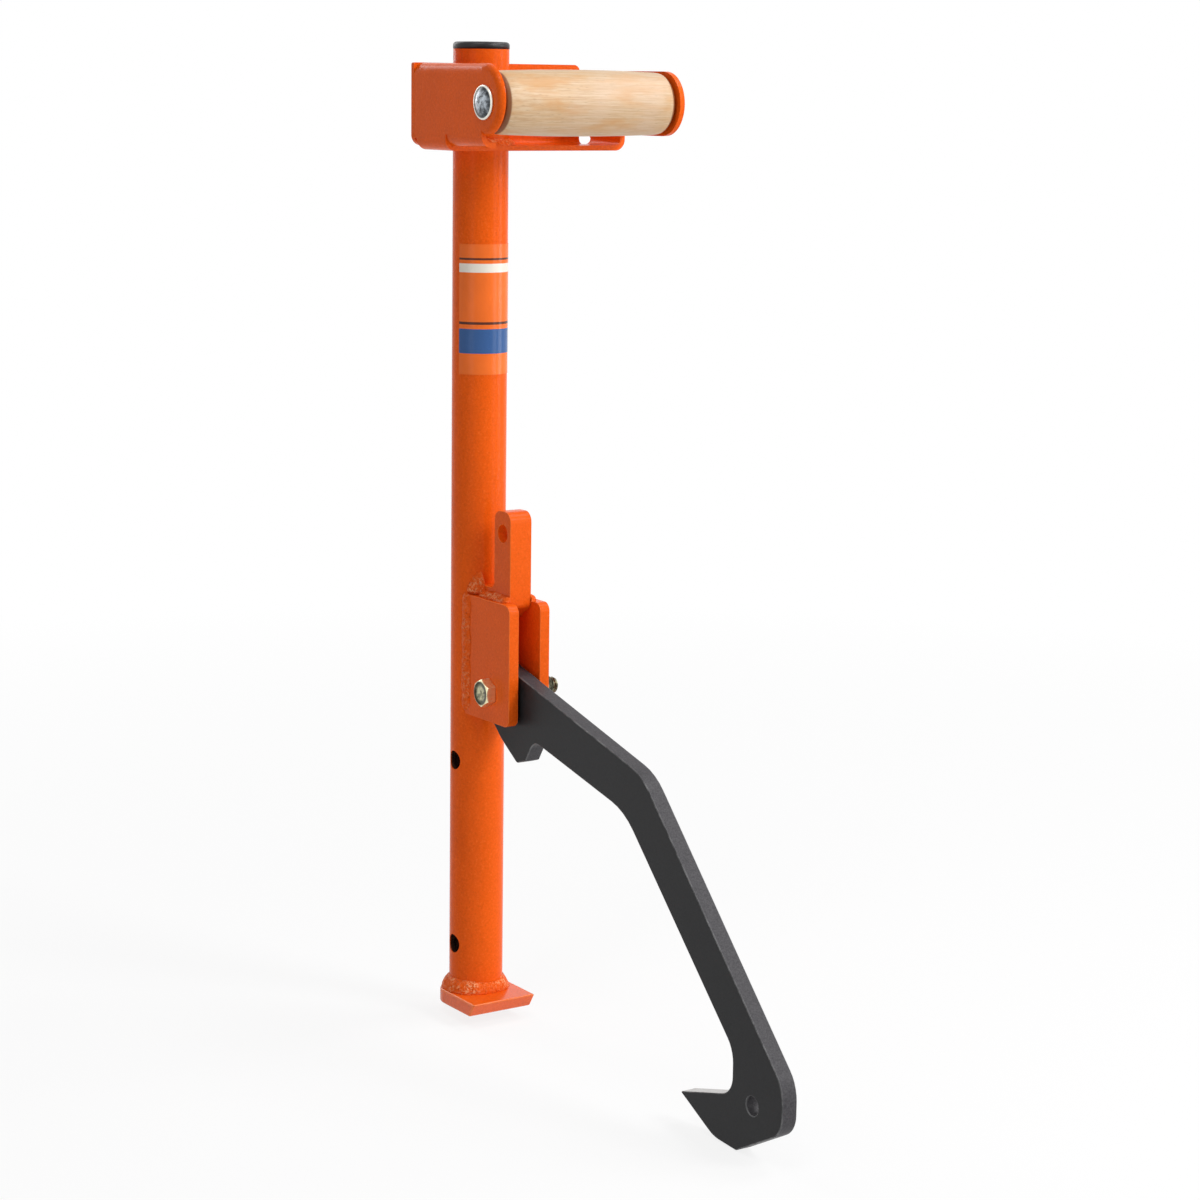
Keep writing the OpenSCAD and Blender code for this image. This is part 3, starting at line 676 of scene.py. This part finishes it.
class LOGTOOL_OT_weld_beads(bpy.types.Operator):
    """Lay the weld beads at the foot, the clevis, the lug bar and the bracket"""

    bl_idname = "logtool.weld_beads"
    bl_label = "Weld Beads"

    def foot_ring(self, tube_r):
        """Ring round the tube on the foot plate, taller than it is wide. The toe on the plate keeps inside
        the plate's outline: the least room to its two sides and to its rounded rear, along each direction.
        Overlapping lumps show where the weld stopped and started again."""
        wide, rear = node_span("foot_plate")[1][:2]
        tall = node_span("foot_weld")[1][2]
        turn = np.linspace(0, 2 * np.pi, 721)
        away = xyz(np.cos(turn), np.sin(turn), 0)
        soft = FOOT_CORNER_R
        middle = np.stack([np.sign(away[:, 0]) * (wide - soft), np.full_like(turn, rear - soft)], -1)
        dot = (away[:, :2] * middle).sum(-1)
        corner_room = dot + np.sqrt(np.maximum(dot**2 - (middle**2).sum(-1) + soft**2, 0))
        side_room = wide / np.maximum(np.abs(away[:, 0]), 1e-6)
        rear_room = rear / np.maximum(away[:, 1], 1e-6)
        hit = away * corner_room[:, None]
        in_corner = (np.abs(hit[:, 0]) > wide - soft) & (hit[:, 1] > rear - soft)
        room = np.where(in_corner, corner_room, np.minimum(side_room, rear_room)) - tube_r - 0.1
        widest = 5.2 - 2.2 * np.clip(-away[:, 1], 0, 1) ** 3
        room = np.clip(room, 0.12, widest)
        lumps = sum(height * hump(turn, at, spread) for at, spread, height in FOOT_LUMPS)
        base = away * tube_r
        rise = np.minimum(tall - 0.2, 2.5 + room * 1.2)
        swell = (lumps + 0.15 + 0.75 * np.clip(-away[:, 0], 0, 1)) * np.minimum(1, room / 5)
        return bead(
            "foot_bead", base, base + away * room[:, None] * 0.88, base + UP * rise[:, None],
            unit(away + 0.75 * UP), swell[:, None], seed=0.7, ring=True, ripple=0.2, stray=0.04,
        )

    def plate_side(self, s, tube_r):
        """Bead up the corner between a clevis plate's face and the tube."""
        face = node_span("clevis_plate_right")[1][0]
        low, high = node_span("clevis_plate_left")
        z = np.linspace(low[2] + 1.5, high[2] + 1.2, 260)
        y = -math.sqrt(tube_r**2 - face**2)
        toe_y = -6.2
        toe_b = xyz(s * math.sqrt(tube_r**2 - toe_y**2), toe_y, z)
        return bead(
            side_name("plate_bead", s), xyz(s * face, y, z), xyz(s * face, y - 5.6, z), toe_b,
            unit(xyz(s, -0.25, 0 * z)), swell=1.1, seed=2.1 + s, taper=6.0, ripple=0.8, stray=0.14,
        )

    def plate_edge(self, s):
        """Bead along a clevis plate's upper edge, against the lug bar's side."""
        low, high = node_span("lug_bar")
        y = np.linspace(-17.2, low[1] - 1.0, 130)
        corner = xyz(s * high[0], y, node_span("clevis_plate_left")[1][2])
        toe_a, toe_b = corner + np.array([s * 4.2, 0, 0]), corner + np.array([0, 0, 3.6])
        return bead(
            side_name("edge_bead", s), corner, toe_a, toe_b, unit(xyz(s, 0 * y, 1)),
            swell=0.5, seed=4.0 + s, ripple=1.5,
        )

    def corner_lump(self, s, tube_r):
        """Thick lump where the lug bar's foot meets the tube, above a clevis plate."""
        side = node_span("lug_bar")[1][0]
        low, high = node_span("lug_welds")
        z = np.linspace(low[2] - 1.2, high[2] + 1.0, 90)
        y = -math.sqrt(tube_r**2 - side**2)
        grow = 0.3 + 0.7 * (1 - (z - z[0]) / (z[-1] - z[0])) ** 0.8
        across = side + (13.9 - side) * grow
        toe_b = xyz(s * across, -np.sqrt(tube_r**2 - across**2), z)
        return bead(
            side_name("lug_bead", s), xyz(s * side, y, z), xyz(s * side, y - 7.0 * grow, z), toe_b,
            unit(xyz(s * 0.75, -0.66, 0 * z)), swell=1.5 * grow[:, None], seed=5.5 + s, taper=4.0,
            ripple=0.5,
        )

    def tray_ring(self, tube_r):
        """Arc round the tube on the bracket's tray, between its open front and its rear web, whose toe
        keeps behind the tray's front edge."""
        leg, front = 3.9, 18.7
        turn = np.linspace(math.radians(52), math.radians(-232), 300)
        away = xyz(np.cos(turn), np.sin(turn), 0)
        front_room = front / np.maximum(-away[:, 1], 1e-6) - tube_r
        room = np.where(away[:, 1] < 0, np.minimum(leg, front_room), leg)
        corner = away * tube_r + np.array([0, 0, node_span("bracket_welds")[0][2]])
        return bead(
            "tray_bead", corner, corner + away * room[:, None], corner + 3.7 * UP, unit(away + UP),
            swell=0.3, seed=1.3,
        )

    def web_side(self, s, tube_r):
        """Bead up the corner between the bracket's rear web and the tube."""
        low, high = node_span("bracket_welds")
        z = np.linspace(low[2] + 4.5, high[2] - 0.2, 150)
        toe_x = 13.6
        toe_b = xyz(s * toe_x, math.sqrt(tube_r**2 - toe_x**2), z)
        return bead(
            side_name("web_bead", s), xyz(s * 5.5, 15.6, z), xyz(s * 12.6, 15.85, z), toe_b,
            unit(xyz(s, -0.1, 0 * z)), swell=0.25, seed=3.3 + s, ripple=0.5,
        )

    def execute(self, context):
        tube_r = node_span("main_tube")[1][0]
        paint = coat_paint("coat over welds", weld=True)
        # Fewer painted glints on the long welds
        calm = coat_paint("coat over long welds", weld=True, catch=0.4)
        made = [(self.foot_ring(tube_r), "foot_weld"), (self.tray_ring(tube_r), "bracket_welds")]
        for s in (-1, 1):
            made += [(self.plate_side(s, tube_r), "clevis_welds"), (self.plate_edge(s), "clevis_welds")]
            made.append((self.corner_lump(s, tube_r), "lug_welds"))
            made.append((self.web_side(s, tube_r), "bracket_welds"))
        for piece, node in made:
            dress(piece, calm if piece.name.startswith("plate_bead") else paint, "body", "orange_weld")
            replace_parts(piece, node)
        return {"FINISHED"}


# Pieces


class LOGTOOL_OT_steelwork(bpy.types.Operator):
    """Round the edges of the coated tube, bracket, foot, clevis plates and lug bar"""

    bl_idname = "logtool.steelwork"
    bl_label = "Coated Steel"

    def execute(self, context):
        sizes = context.scene.log_tool_sizes
        paint = coat_paint("powder coat")
        own = {
            "main_tube": coat_paint("powder coat on the tube", hollow=True),
            "foot_plate": coat_paint("powder coat rubbed smooth", gloss=0.34),
        }
        for node, name, width in (
            ("main_tube", "coated_tube", sizes.sheet_round * 0.45),
            ("handle_bracket", "bent_bracket", sizes.sheet_round),
            ("foot_plate", "foot_slab", sizes.foot_round),
            ("clevis_plate_left", "clevis_side_left", sizes.plate_round),
            ("clevis_plate_right", "clevis_side_right", sizes.plate_round),
            ("lug_bar", "lug_upright", sizes.plate_round),
        ):
            dress(crisp_copy(node, name, width), own.get(node, paint), "body", "orange_coat")
        return {"FINISHED"}


class LOGTOOL_OT_hook_blade(bpy.types.Operator):
    """Round the hook's edges and mark its cut sides and its ground tip"""

    bl_idname = "logtool.hook_blade"
    bl_label = "Hook"

    def execute(self, context):
        blade = crisp_copy("hook", "hook_blade", context.scene.log_tool_sizes.hook_round)
        mesh = blade.data
        count = len(mesh.polygons)
        normal, middle = np.zeros(count * 3), np.zeros(count * 3)
        mesh.polygons.foreach_get("normal", normal)
        mesh.polygons.foreach_get("center", middle)
        normal = normal.reshape(-1, 3)
        middle = middle.reshape(-1, 3) * MM + ROW_ORIGIN
        tip_front, tip_back, tip_top = -262, -215, 18
        at_tip = (middle[:, 1] > tip_front) & (middle[:, 1] < tip_back) & (middle[:, 2] < tip_top)
        side = np.abs(normal[:, 0]) < 0.35
        ground = side & (normal[:, 2] > 0.3) & at_tip
        for name, value in (("side", side & ~ground), ("ground", ground)):
            mesh.attributes.new(name, "FLOAT", "FACE").data.foreach_set("value", value.astype(np.float32))
        dress(blade, hook_paint("charcoal coat"), "hook", "hook_steel")
        return {"FINISHED"}


class LOGTOOL_OT_wood_grip(bpy.types.Operator):
    """Turn the wood grip with its bore and rounded ends"""

    bl_idname = "logtool.wood_grip"
    bl_label = "Wood Grip"

    def execute(self, context):
        low, high = node_span("grip")
        half, full = (high[0] - low[0]) / 2, (high[2] - low[2]) / 2
        soft, belly, bore = 4.0, 1.1, 4.1
        end = full - belly
        turn = np.linspace(0, np.pi / 2, 14)
        left = np.stack([-half + soft - soft * np.cos(turn), end - soft + soft * np.sin(turn)], -1)
        x = np.linspace(-half + soft, half - soft, 60)[1:-1]
        tool_marks = 0.012 * np.sin(x * 1.9) * np.sin(x * 0.31)
        body = np.stack([x, full - belly * (x / half) ** 2 + tool_marks], -1)
        right = left[::-1] * [-1, 1]
        first = [[-half, bore], [-half, (bore + end - soft) / 2]]
        outline = np.concatenate([first, left, body, right, [[half, bore]]])
        outline[:, 0] += (low[0] + high[0]) / 2
        grip = looped("turned_grip", turned(outline, GRIP_AXIS, 128))
        dress(grip, wood_paint("turned wood"), "grip", "grip_wood")
        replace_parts(grip, "grip")
        return {"FINISHED"}


def threaded(pitch, start, stop, depth):
    """Radius rule of a screw thread: between start and stop the radius dips by a triangle wave of the
    distance along x minus the turned share of the pitch, fading in over one pitch at each end. It leaves
    radii under 1 mm alone, which close the ends."""

    def rule(x, r, angle):
        wave = np.abs(2 * np.mod(x / pitch - angle / (2 * np.pi), 1) - 1)
        fade = np.clip((x - start) / pitch, 0, 1) * np.clip((stop - x) / pitch, 0, 1)
        return r - np.where(r > 1, depth * fade * wave, 0)

    return rule


class LOGTOOL_OT_fasteners(bpy.types.Operator):
    """Make the pivot bolt, the grip bolt, their nuts, washers and spacers"""

    bl_idname = "logtool.fasteners"
    bl_label = "Fasteners"

    def pivot_bolt(self):
        """Hexagon head with a cut-back face, shank and thread to a chamfered end."""
        low, high = node_span("pivot_bolt")
        at, r = PIVOT_AXIS, PIVOT_BOLT_R
        head = node_span("clevis_plate_left")[0][0]
        face = turned([(low[0] + 0.35, 0), (low[0] + 0.35, 5.6), (low[0] + 0.1, 6.1)], at, 120)
        depths = [(low[0] + v, v) for v in (0, 0.12, 0.25, 0.4, 0.6, 0.9, 1.4, 2.4, 4.0)]
        flanks = hexagon(depths + [(head - 0.5, 5), (head, 5)], at, 120, PIVOT_FLATS)
        neck = turned([(head, r + 0.4), (head + 0.3, r), (head + 0.6, 0)], at, 120)
        head_piece = swept("pivot_head", np.concatenate([face, flanks, neck]))
        body = [(v, r) for v in np.arange(head + 0.2, high[0] - 0.9, 0.13)]
        end = [(high[0] - 0.8, r), (high[0] - 0.05, r - 0.9), (high[0], r - 1.1), (high[0], 0.0)]
        start = node_span("clevis_plate_right")[0][0]
        pitch = settings()[0].pivot_pitch * MM
        thread = threaded(pitch, start, high[0] + 0.2, 0.75)
        shank = turned([(head + 0.2, 0.0)] + body + end, at, 72, thread)
        return [head_piece, swept("pivot_shank", shank)]

    def grip_bolt(self):
        """Domed head with a raised rim, shank and thread to a chamfered end."""
        low, high = node_span("grip_bolt")
        r = GRIP_BOLT_R
        seat = node_span("handle_bracket")[0][0]
        big = (high[2] - low[2]) / 2
        dome = [(low[0] + 1.9 * v**2.2, v * (big - 1.5)) for v in np.linspace(0, 1, 16)]
        rim = [(low[0] + 2.0, big - 1.3), (low[0] + 1.75, big - 0.9), (low[0] + 1.8, big - 0.4)]
        rim += [(low[0] + 2.2, big - 0.08), (low[0] + 2.6, big), (seat - 0.2, big), (seat, big - 0.2)]
        body = [(seat, r)] + [(v, r) for v in np.arange(seat + 0.3, high[0] - 0.8, 0.16)]
        end = [(high[0] - 0.7, r), (high[0], 3.2), (high[0], 0)]
        pitch = settings()[0].grip_pitch * MM
        thread_from = 70
        thread = threaded(pitch, thread_from, high[0] + 0.2, 0.6)
        return swept("grip_dome_bolt", turned(dome + rim + body + end, GRIP_AXIS, 96, thread))

    def lock_nut(self, name, node, at, flats, tall, bore, collar):
        """Hexagon nut with a cone at its seat and a rounded collar round its plastic ring."""
        low, high = node_span(node)
        a, b, end = low[0], low[0] + tall, high[0]
        flanks = [(a + v, v) for v in (0, 0.25, 0.6, 1.2, tall / 2)]
        flanks += [(b - v, v) for v in (0.8, 0.4, 0.05)]
        ring = [(b, collar + 0.15), (b + 0.3, collar), (end - 0.9, collar), (end - 0.3, collar - 0.25)]
        ring += [(end, collar - 0.8), (end - 0.05, collar - 1.0)]
        ring += [(end - 0.5, bore + 0.6), (end - 0.9, bore)]
        rings = [turned([(a, bore)], at, 120), hexagon(flanks, at, 120, flats), turned(ring, at, 120)]
        return looped(name, np.concatenate(rings))

    def execute(self, context):
        tones = context.scene.log_tool_colours
        # Each bolt head gets a painted highlight on its rim, painted shade inside it and a pale painted
        # reflection in its middle
        rim = (*GRIP_AXIS, GRIP_RIM_R, tones.bright_zinc_highlight)
        bright = plate_paint("bright zinc", tones.zinc, shade(tones.zinc, 1.7), 0.26, rim)
        rim = (*PIVOT_AXIS, PIVOT_RIM_R, tones.yellow_zinc_highlight)
        yellow = plate_paint("yellow zinc", tones.yellow, tones.yellow_tint, 0.32, rim)
        flat_yellow = plate_paint("yellow zinc washer", tones.yellow, tones.washer_tint, 0.34)
        for piece in self.pivot_bolt():
            dress(piece, yellow, "body", "yellow_zinc")
            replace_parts(piece, "pivot_bolt")
        sizes = {"tall": 7.5, "bore": 4.85, "collar": 6.5}
        nut = self.lock_nut("pivot_lock_nut", "pivot_nut", PIVOT_AXIS, PIVOT_FLATS, **sizes)
        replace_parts(dress(nut, yellow, "body", "yellow_zinc"), "pivot_nut")
        sizes = {"tall": 5.4, "bore": 4.05, "collar": 5.5}
        nut = self.lock_nut("grip_lock_nut", "grip_nut", GRIP_AXIS, GRIP_NUT_FLATS, **sizes)
        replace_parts(dress(nut, bright, "body", "bright_zinc"), "grip_nut")
        bolt = self.grip_bolt()
        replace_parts(dress(bolt, bright, "body", "bright_zinc"), "grip_bolt")
        for node, name, metal, slot_name in (
            ("grip_washers", "grip_side_washers", bright, "bright_zinc"),
            ("hook_spacers", "hook_side_spacers", bright, "bright_zinc"),
            ("pivot_washer", "nut_washer", flat_yellow, "yellow_zinc"),
        ):
            dress(crisp_copy(node, name, 0.0003), metal, "body", slot_name)
        repaint("nut_insert", plastic_paint("insert plastic", tones.insert, 0.45, 0.001))
        return {"FINISHED"}


class LOGTOOL_OT_cap_and_label(bpy.types.Operator):
    """Mould the dark end plug and print the label film's plain bands"""

    bl_idname = "logtool.cap_and_label"
    bl_label = "Cap and Label"

    def execute(self, context):
        tones = context.scene.log_tool_colours
        low, high = node_span("tube_cap")
        big, top = high[0], high[2]
        seat = node_span("main_tube")[1][2]
        soft, dish, inner, wall = 2.0, 0.25, 12.7, 3
        turn = np.linspace(0, np.pi / 2, 10)
        face = [(top - dish * v**2, v * (big - soft)) for v in np.linspace(0, 1, 8)[:-1]]
        rim = [(top - dish - soft + soft * math.cos(v), big - soft + soft * math.sin(v)) for v in turn]
        under = [(seat + 0.35, big), (seat + 0.05, big - 0.3), (seat, big - 0.7), (seat, inner)]
        stem = [(low[2] + 1, inner), (low[2], inner - 1), (low[2], inner - wall)]
        hollow = [(top - 5, inner - wall), (top - 5, 0)]
        height, r = np.array(face + rim + under + stem + hollow).T[..., None]
        around = np.linspace(0, 2 * np.pi, 96, endpoint=False)
        plug = swept("end_plug", xyz(r * np.cos(around), r * np.sin(around), height))
        dress(plug, plastic_paint("cap plastic", tones.cap, 0.38, 0.0009), "body", "cap_plastic")
        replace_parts(plug, "tube_cap")
        repaint("label_film", film_paint("label film"))
        return {"FINISHED"}


# Stage


class LOGTOOL_OT_stage(bpy.types.Operator):
    """Set the pale floor, the white background, the soft lamps and the camera"""

    bl_idname = "logtool.stage"
    bl_label = "Stage"

    def lamp(self, name, towards, distance, size, power, target):
        """A rectangular lamp at a distance from the target along a direction, facing it."""
        data = bpy.data.lights.new(name, "AREA")
        data.shape = "RECTANGLE"
        data.size, data.size_y = size
        data.energy = power
        lamp = add_object(name, data)
        way = Vector(towards).normalized()
        turn = way.to_track_quat("Z", "Y").to_matrix().to_4x4()
        lamp.matrix_world = Matrix.Translation(Vector(target) + way * distance) @ turn

    def camera(self, scene):
        """The camera, turned by its heading and height and then rolled about its own axis."""
        az, el, roll = [math.radians(v) for v in CAMERA_TURN]
        back = Vector((math.sin(az) * math.cos(el), -math.cos(az) * math.cos(el), math.sin(el)))
        right = Vector((math.cos(az), math.sin(az), 0))
        up = back.cross(right)
        side = right * math.cos(roll) + up * math.sin(roll)
        top = up * math.cos(roll) - right * math.sin(roll)
        data = bpy.data.cameras.new("camera")
        data.sensor_width = 36
        data.lens = LENS_OVER_SENSOR * 36
        data.clip_start, data.clip_end = 0.05, 60
        camera = add_object("camera", data)
        turn = Matrix((side, top, back)).transposed().to_4x4()
        camera.matrix_world = Matrix.Translation(CAMERA_AT) @ turn
        scene.camera = camera

    def background(self, scene):
        """White behind the tool for the camera, soft grey light for all else."""
        world = bpy.data.worlds.new("studio")
        scene.world = world
        world.use_nodes = True
        tree = Nodes(world.node_tree)
        sky = tree.nodes["Background"]
        sky.inputs["Strength"].default_value = 1
        grey, white = (0.225, 0.225, 0.23), (1, 1, 1)
        tree.link(tree.mix(tree.camera_rays(), grey, white), sky.inputs["Color"])

    def floor(self):
        """A pale floor just under the tool. For the camera a glow is mixed in, which grows to full white
        away from the tool."""
        low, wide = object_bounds()[0][2] - 0.0006, 8.0
        corners = [[-wide, -wide, low], [wide, -wide, low], [wide, wide, low], [-wide, wide, low]]
        floor = put_mesh("floor", np.array(corners), np.array([[0, 1, 2, 3]]))
        paint = Paint("pale floor", Base_Color=(0.82, 0.82, 0.82, 1), Roughness=0.9)
        fade = paint.ramp(paint.reach(paint.place, (1, 1, 1)), 0.62, 1.5, 0.84, 1.0)
        share = paint.times(paint.camera_rays(), fade)
        glow = paint.node("Emission", {"Color": (1, 1, 1, 1)})[0]
        both = paint.node("MixShader", {0: share, 1: paint.shader.outputs[0], 2: glow})[0]
        paint.link(both, paint.nodes["Material Output"].inputs["Surface"])
        floor.data.materials.append(paint.material)
        floor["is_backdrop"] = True

    def execute(self, context):
        self.camera(context.scene)
        self.background(context.scene)
        self.floor()
        for lamp in LAMPS:
            self.lamp(*lamp)
        context.scene.view_settings.view_transform = "Standard"
        return {"FINISHED"}


OPERATORS = (
    LOGTOOL_OT_steelwork,
    LOGTOOL_OT_weld_beads,
    LOGTOOL_OT_hook_blade,
    LOGTOOL_OT_wood_grip,
    LOGTOOL_OT_fasteners,
    LOGTOOL_OT_cap_and_label,
    LOGTOOL_OT_stage,
)


class LOGTOOL_PT_panel(bpy.types.Panel):
    """Lists the pieces of the tool"""

    bl_label = "Log Tool"
    bl_idname = "LOGTOOL_PT_panel"
    bl_space_type = "VIEW_3D"
    bl_region_type = "UI"
    bl_category = "Log Tool"

    def draw(self, context):
        for group in (context.scene.log_tool_sizes, context.scene.log_tool_colours):
            box = self.layout.box()
            for name in group.__annotations__:
                box.prop(group, name)
        for operator in OPERATORS:
            self.layout.operator(operator.bl_idname)


CLASSES = (LogToolSizes, LogToolColours, *OPERATORS, LOGTOOL_PT_panel)


def register():
    for cls in CLASSES:
        bpy.utils.register_class(cls)
    bpy.types.Scene.log_tool_sizes = bpy.props.PointerProperty(type=LogToolSizes)
    bpy.types.Scene.log_tool_colours = bpy.props.PointerProperty(type=LogToolColours)


def unregister():
    del bpy.types.Scene.log_tool_colours
    del bpy.types.Scene.log_tool_sizes
    for cls in reversed(CLASSES):
        bpy.utils.unregister_class(cls)


def main():
    register()
    bpy.ops.logtool.steelwork()
    bpy.ops.logtool.weld_beads()
    bpy.ops.logtool.hook_blade()
    bpy.ops.logtool.wood_grip()
    bpy.ops.logtool.fasteners()
    bpy.ops.logtool.cap_and_label()
    bpy.ops.logtool.stage()


if __name__ == "__main__":
    main()
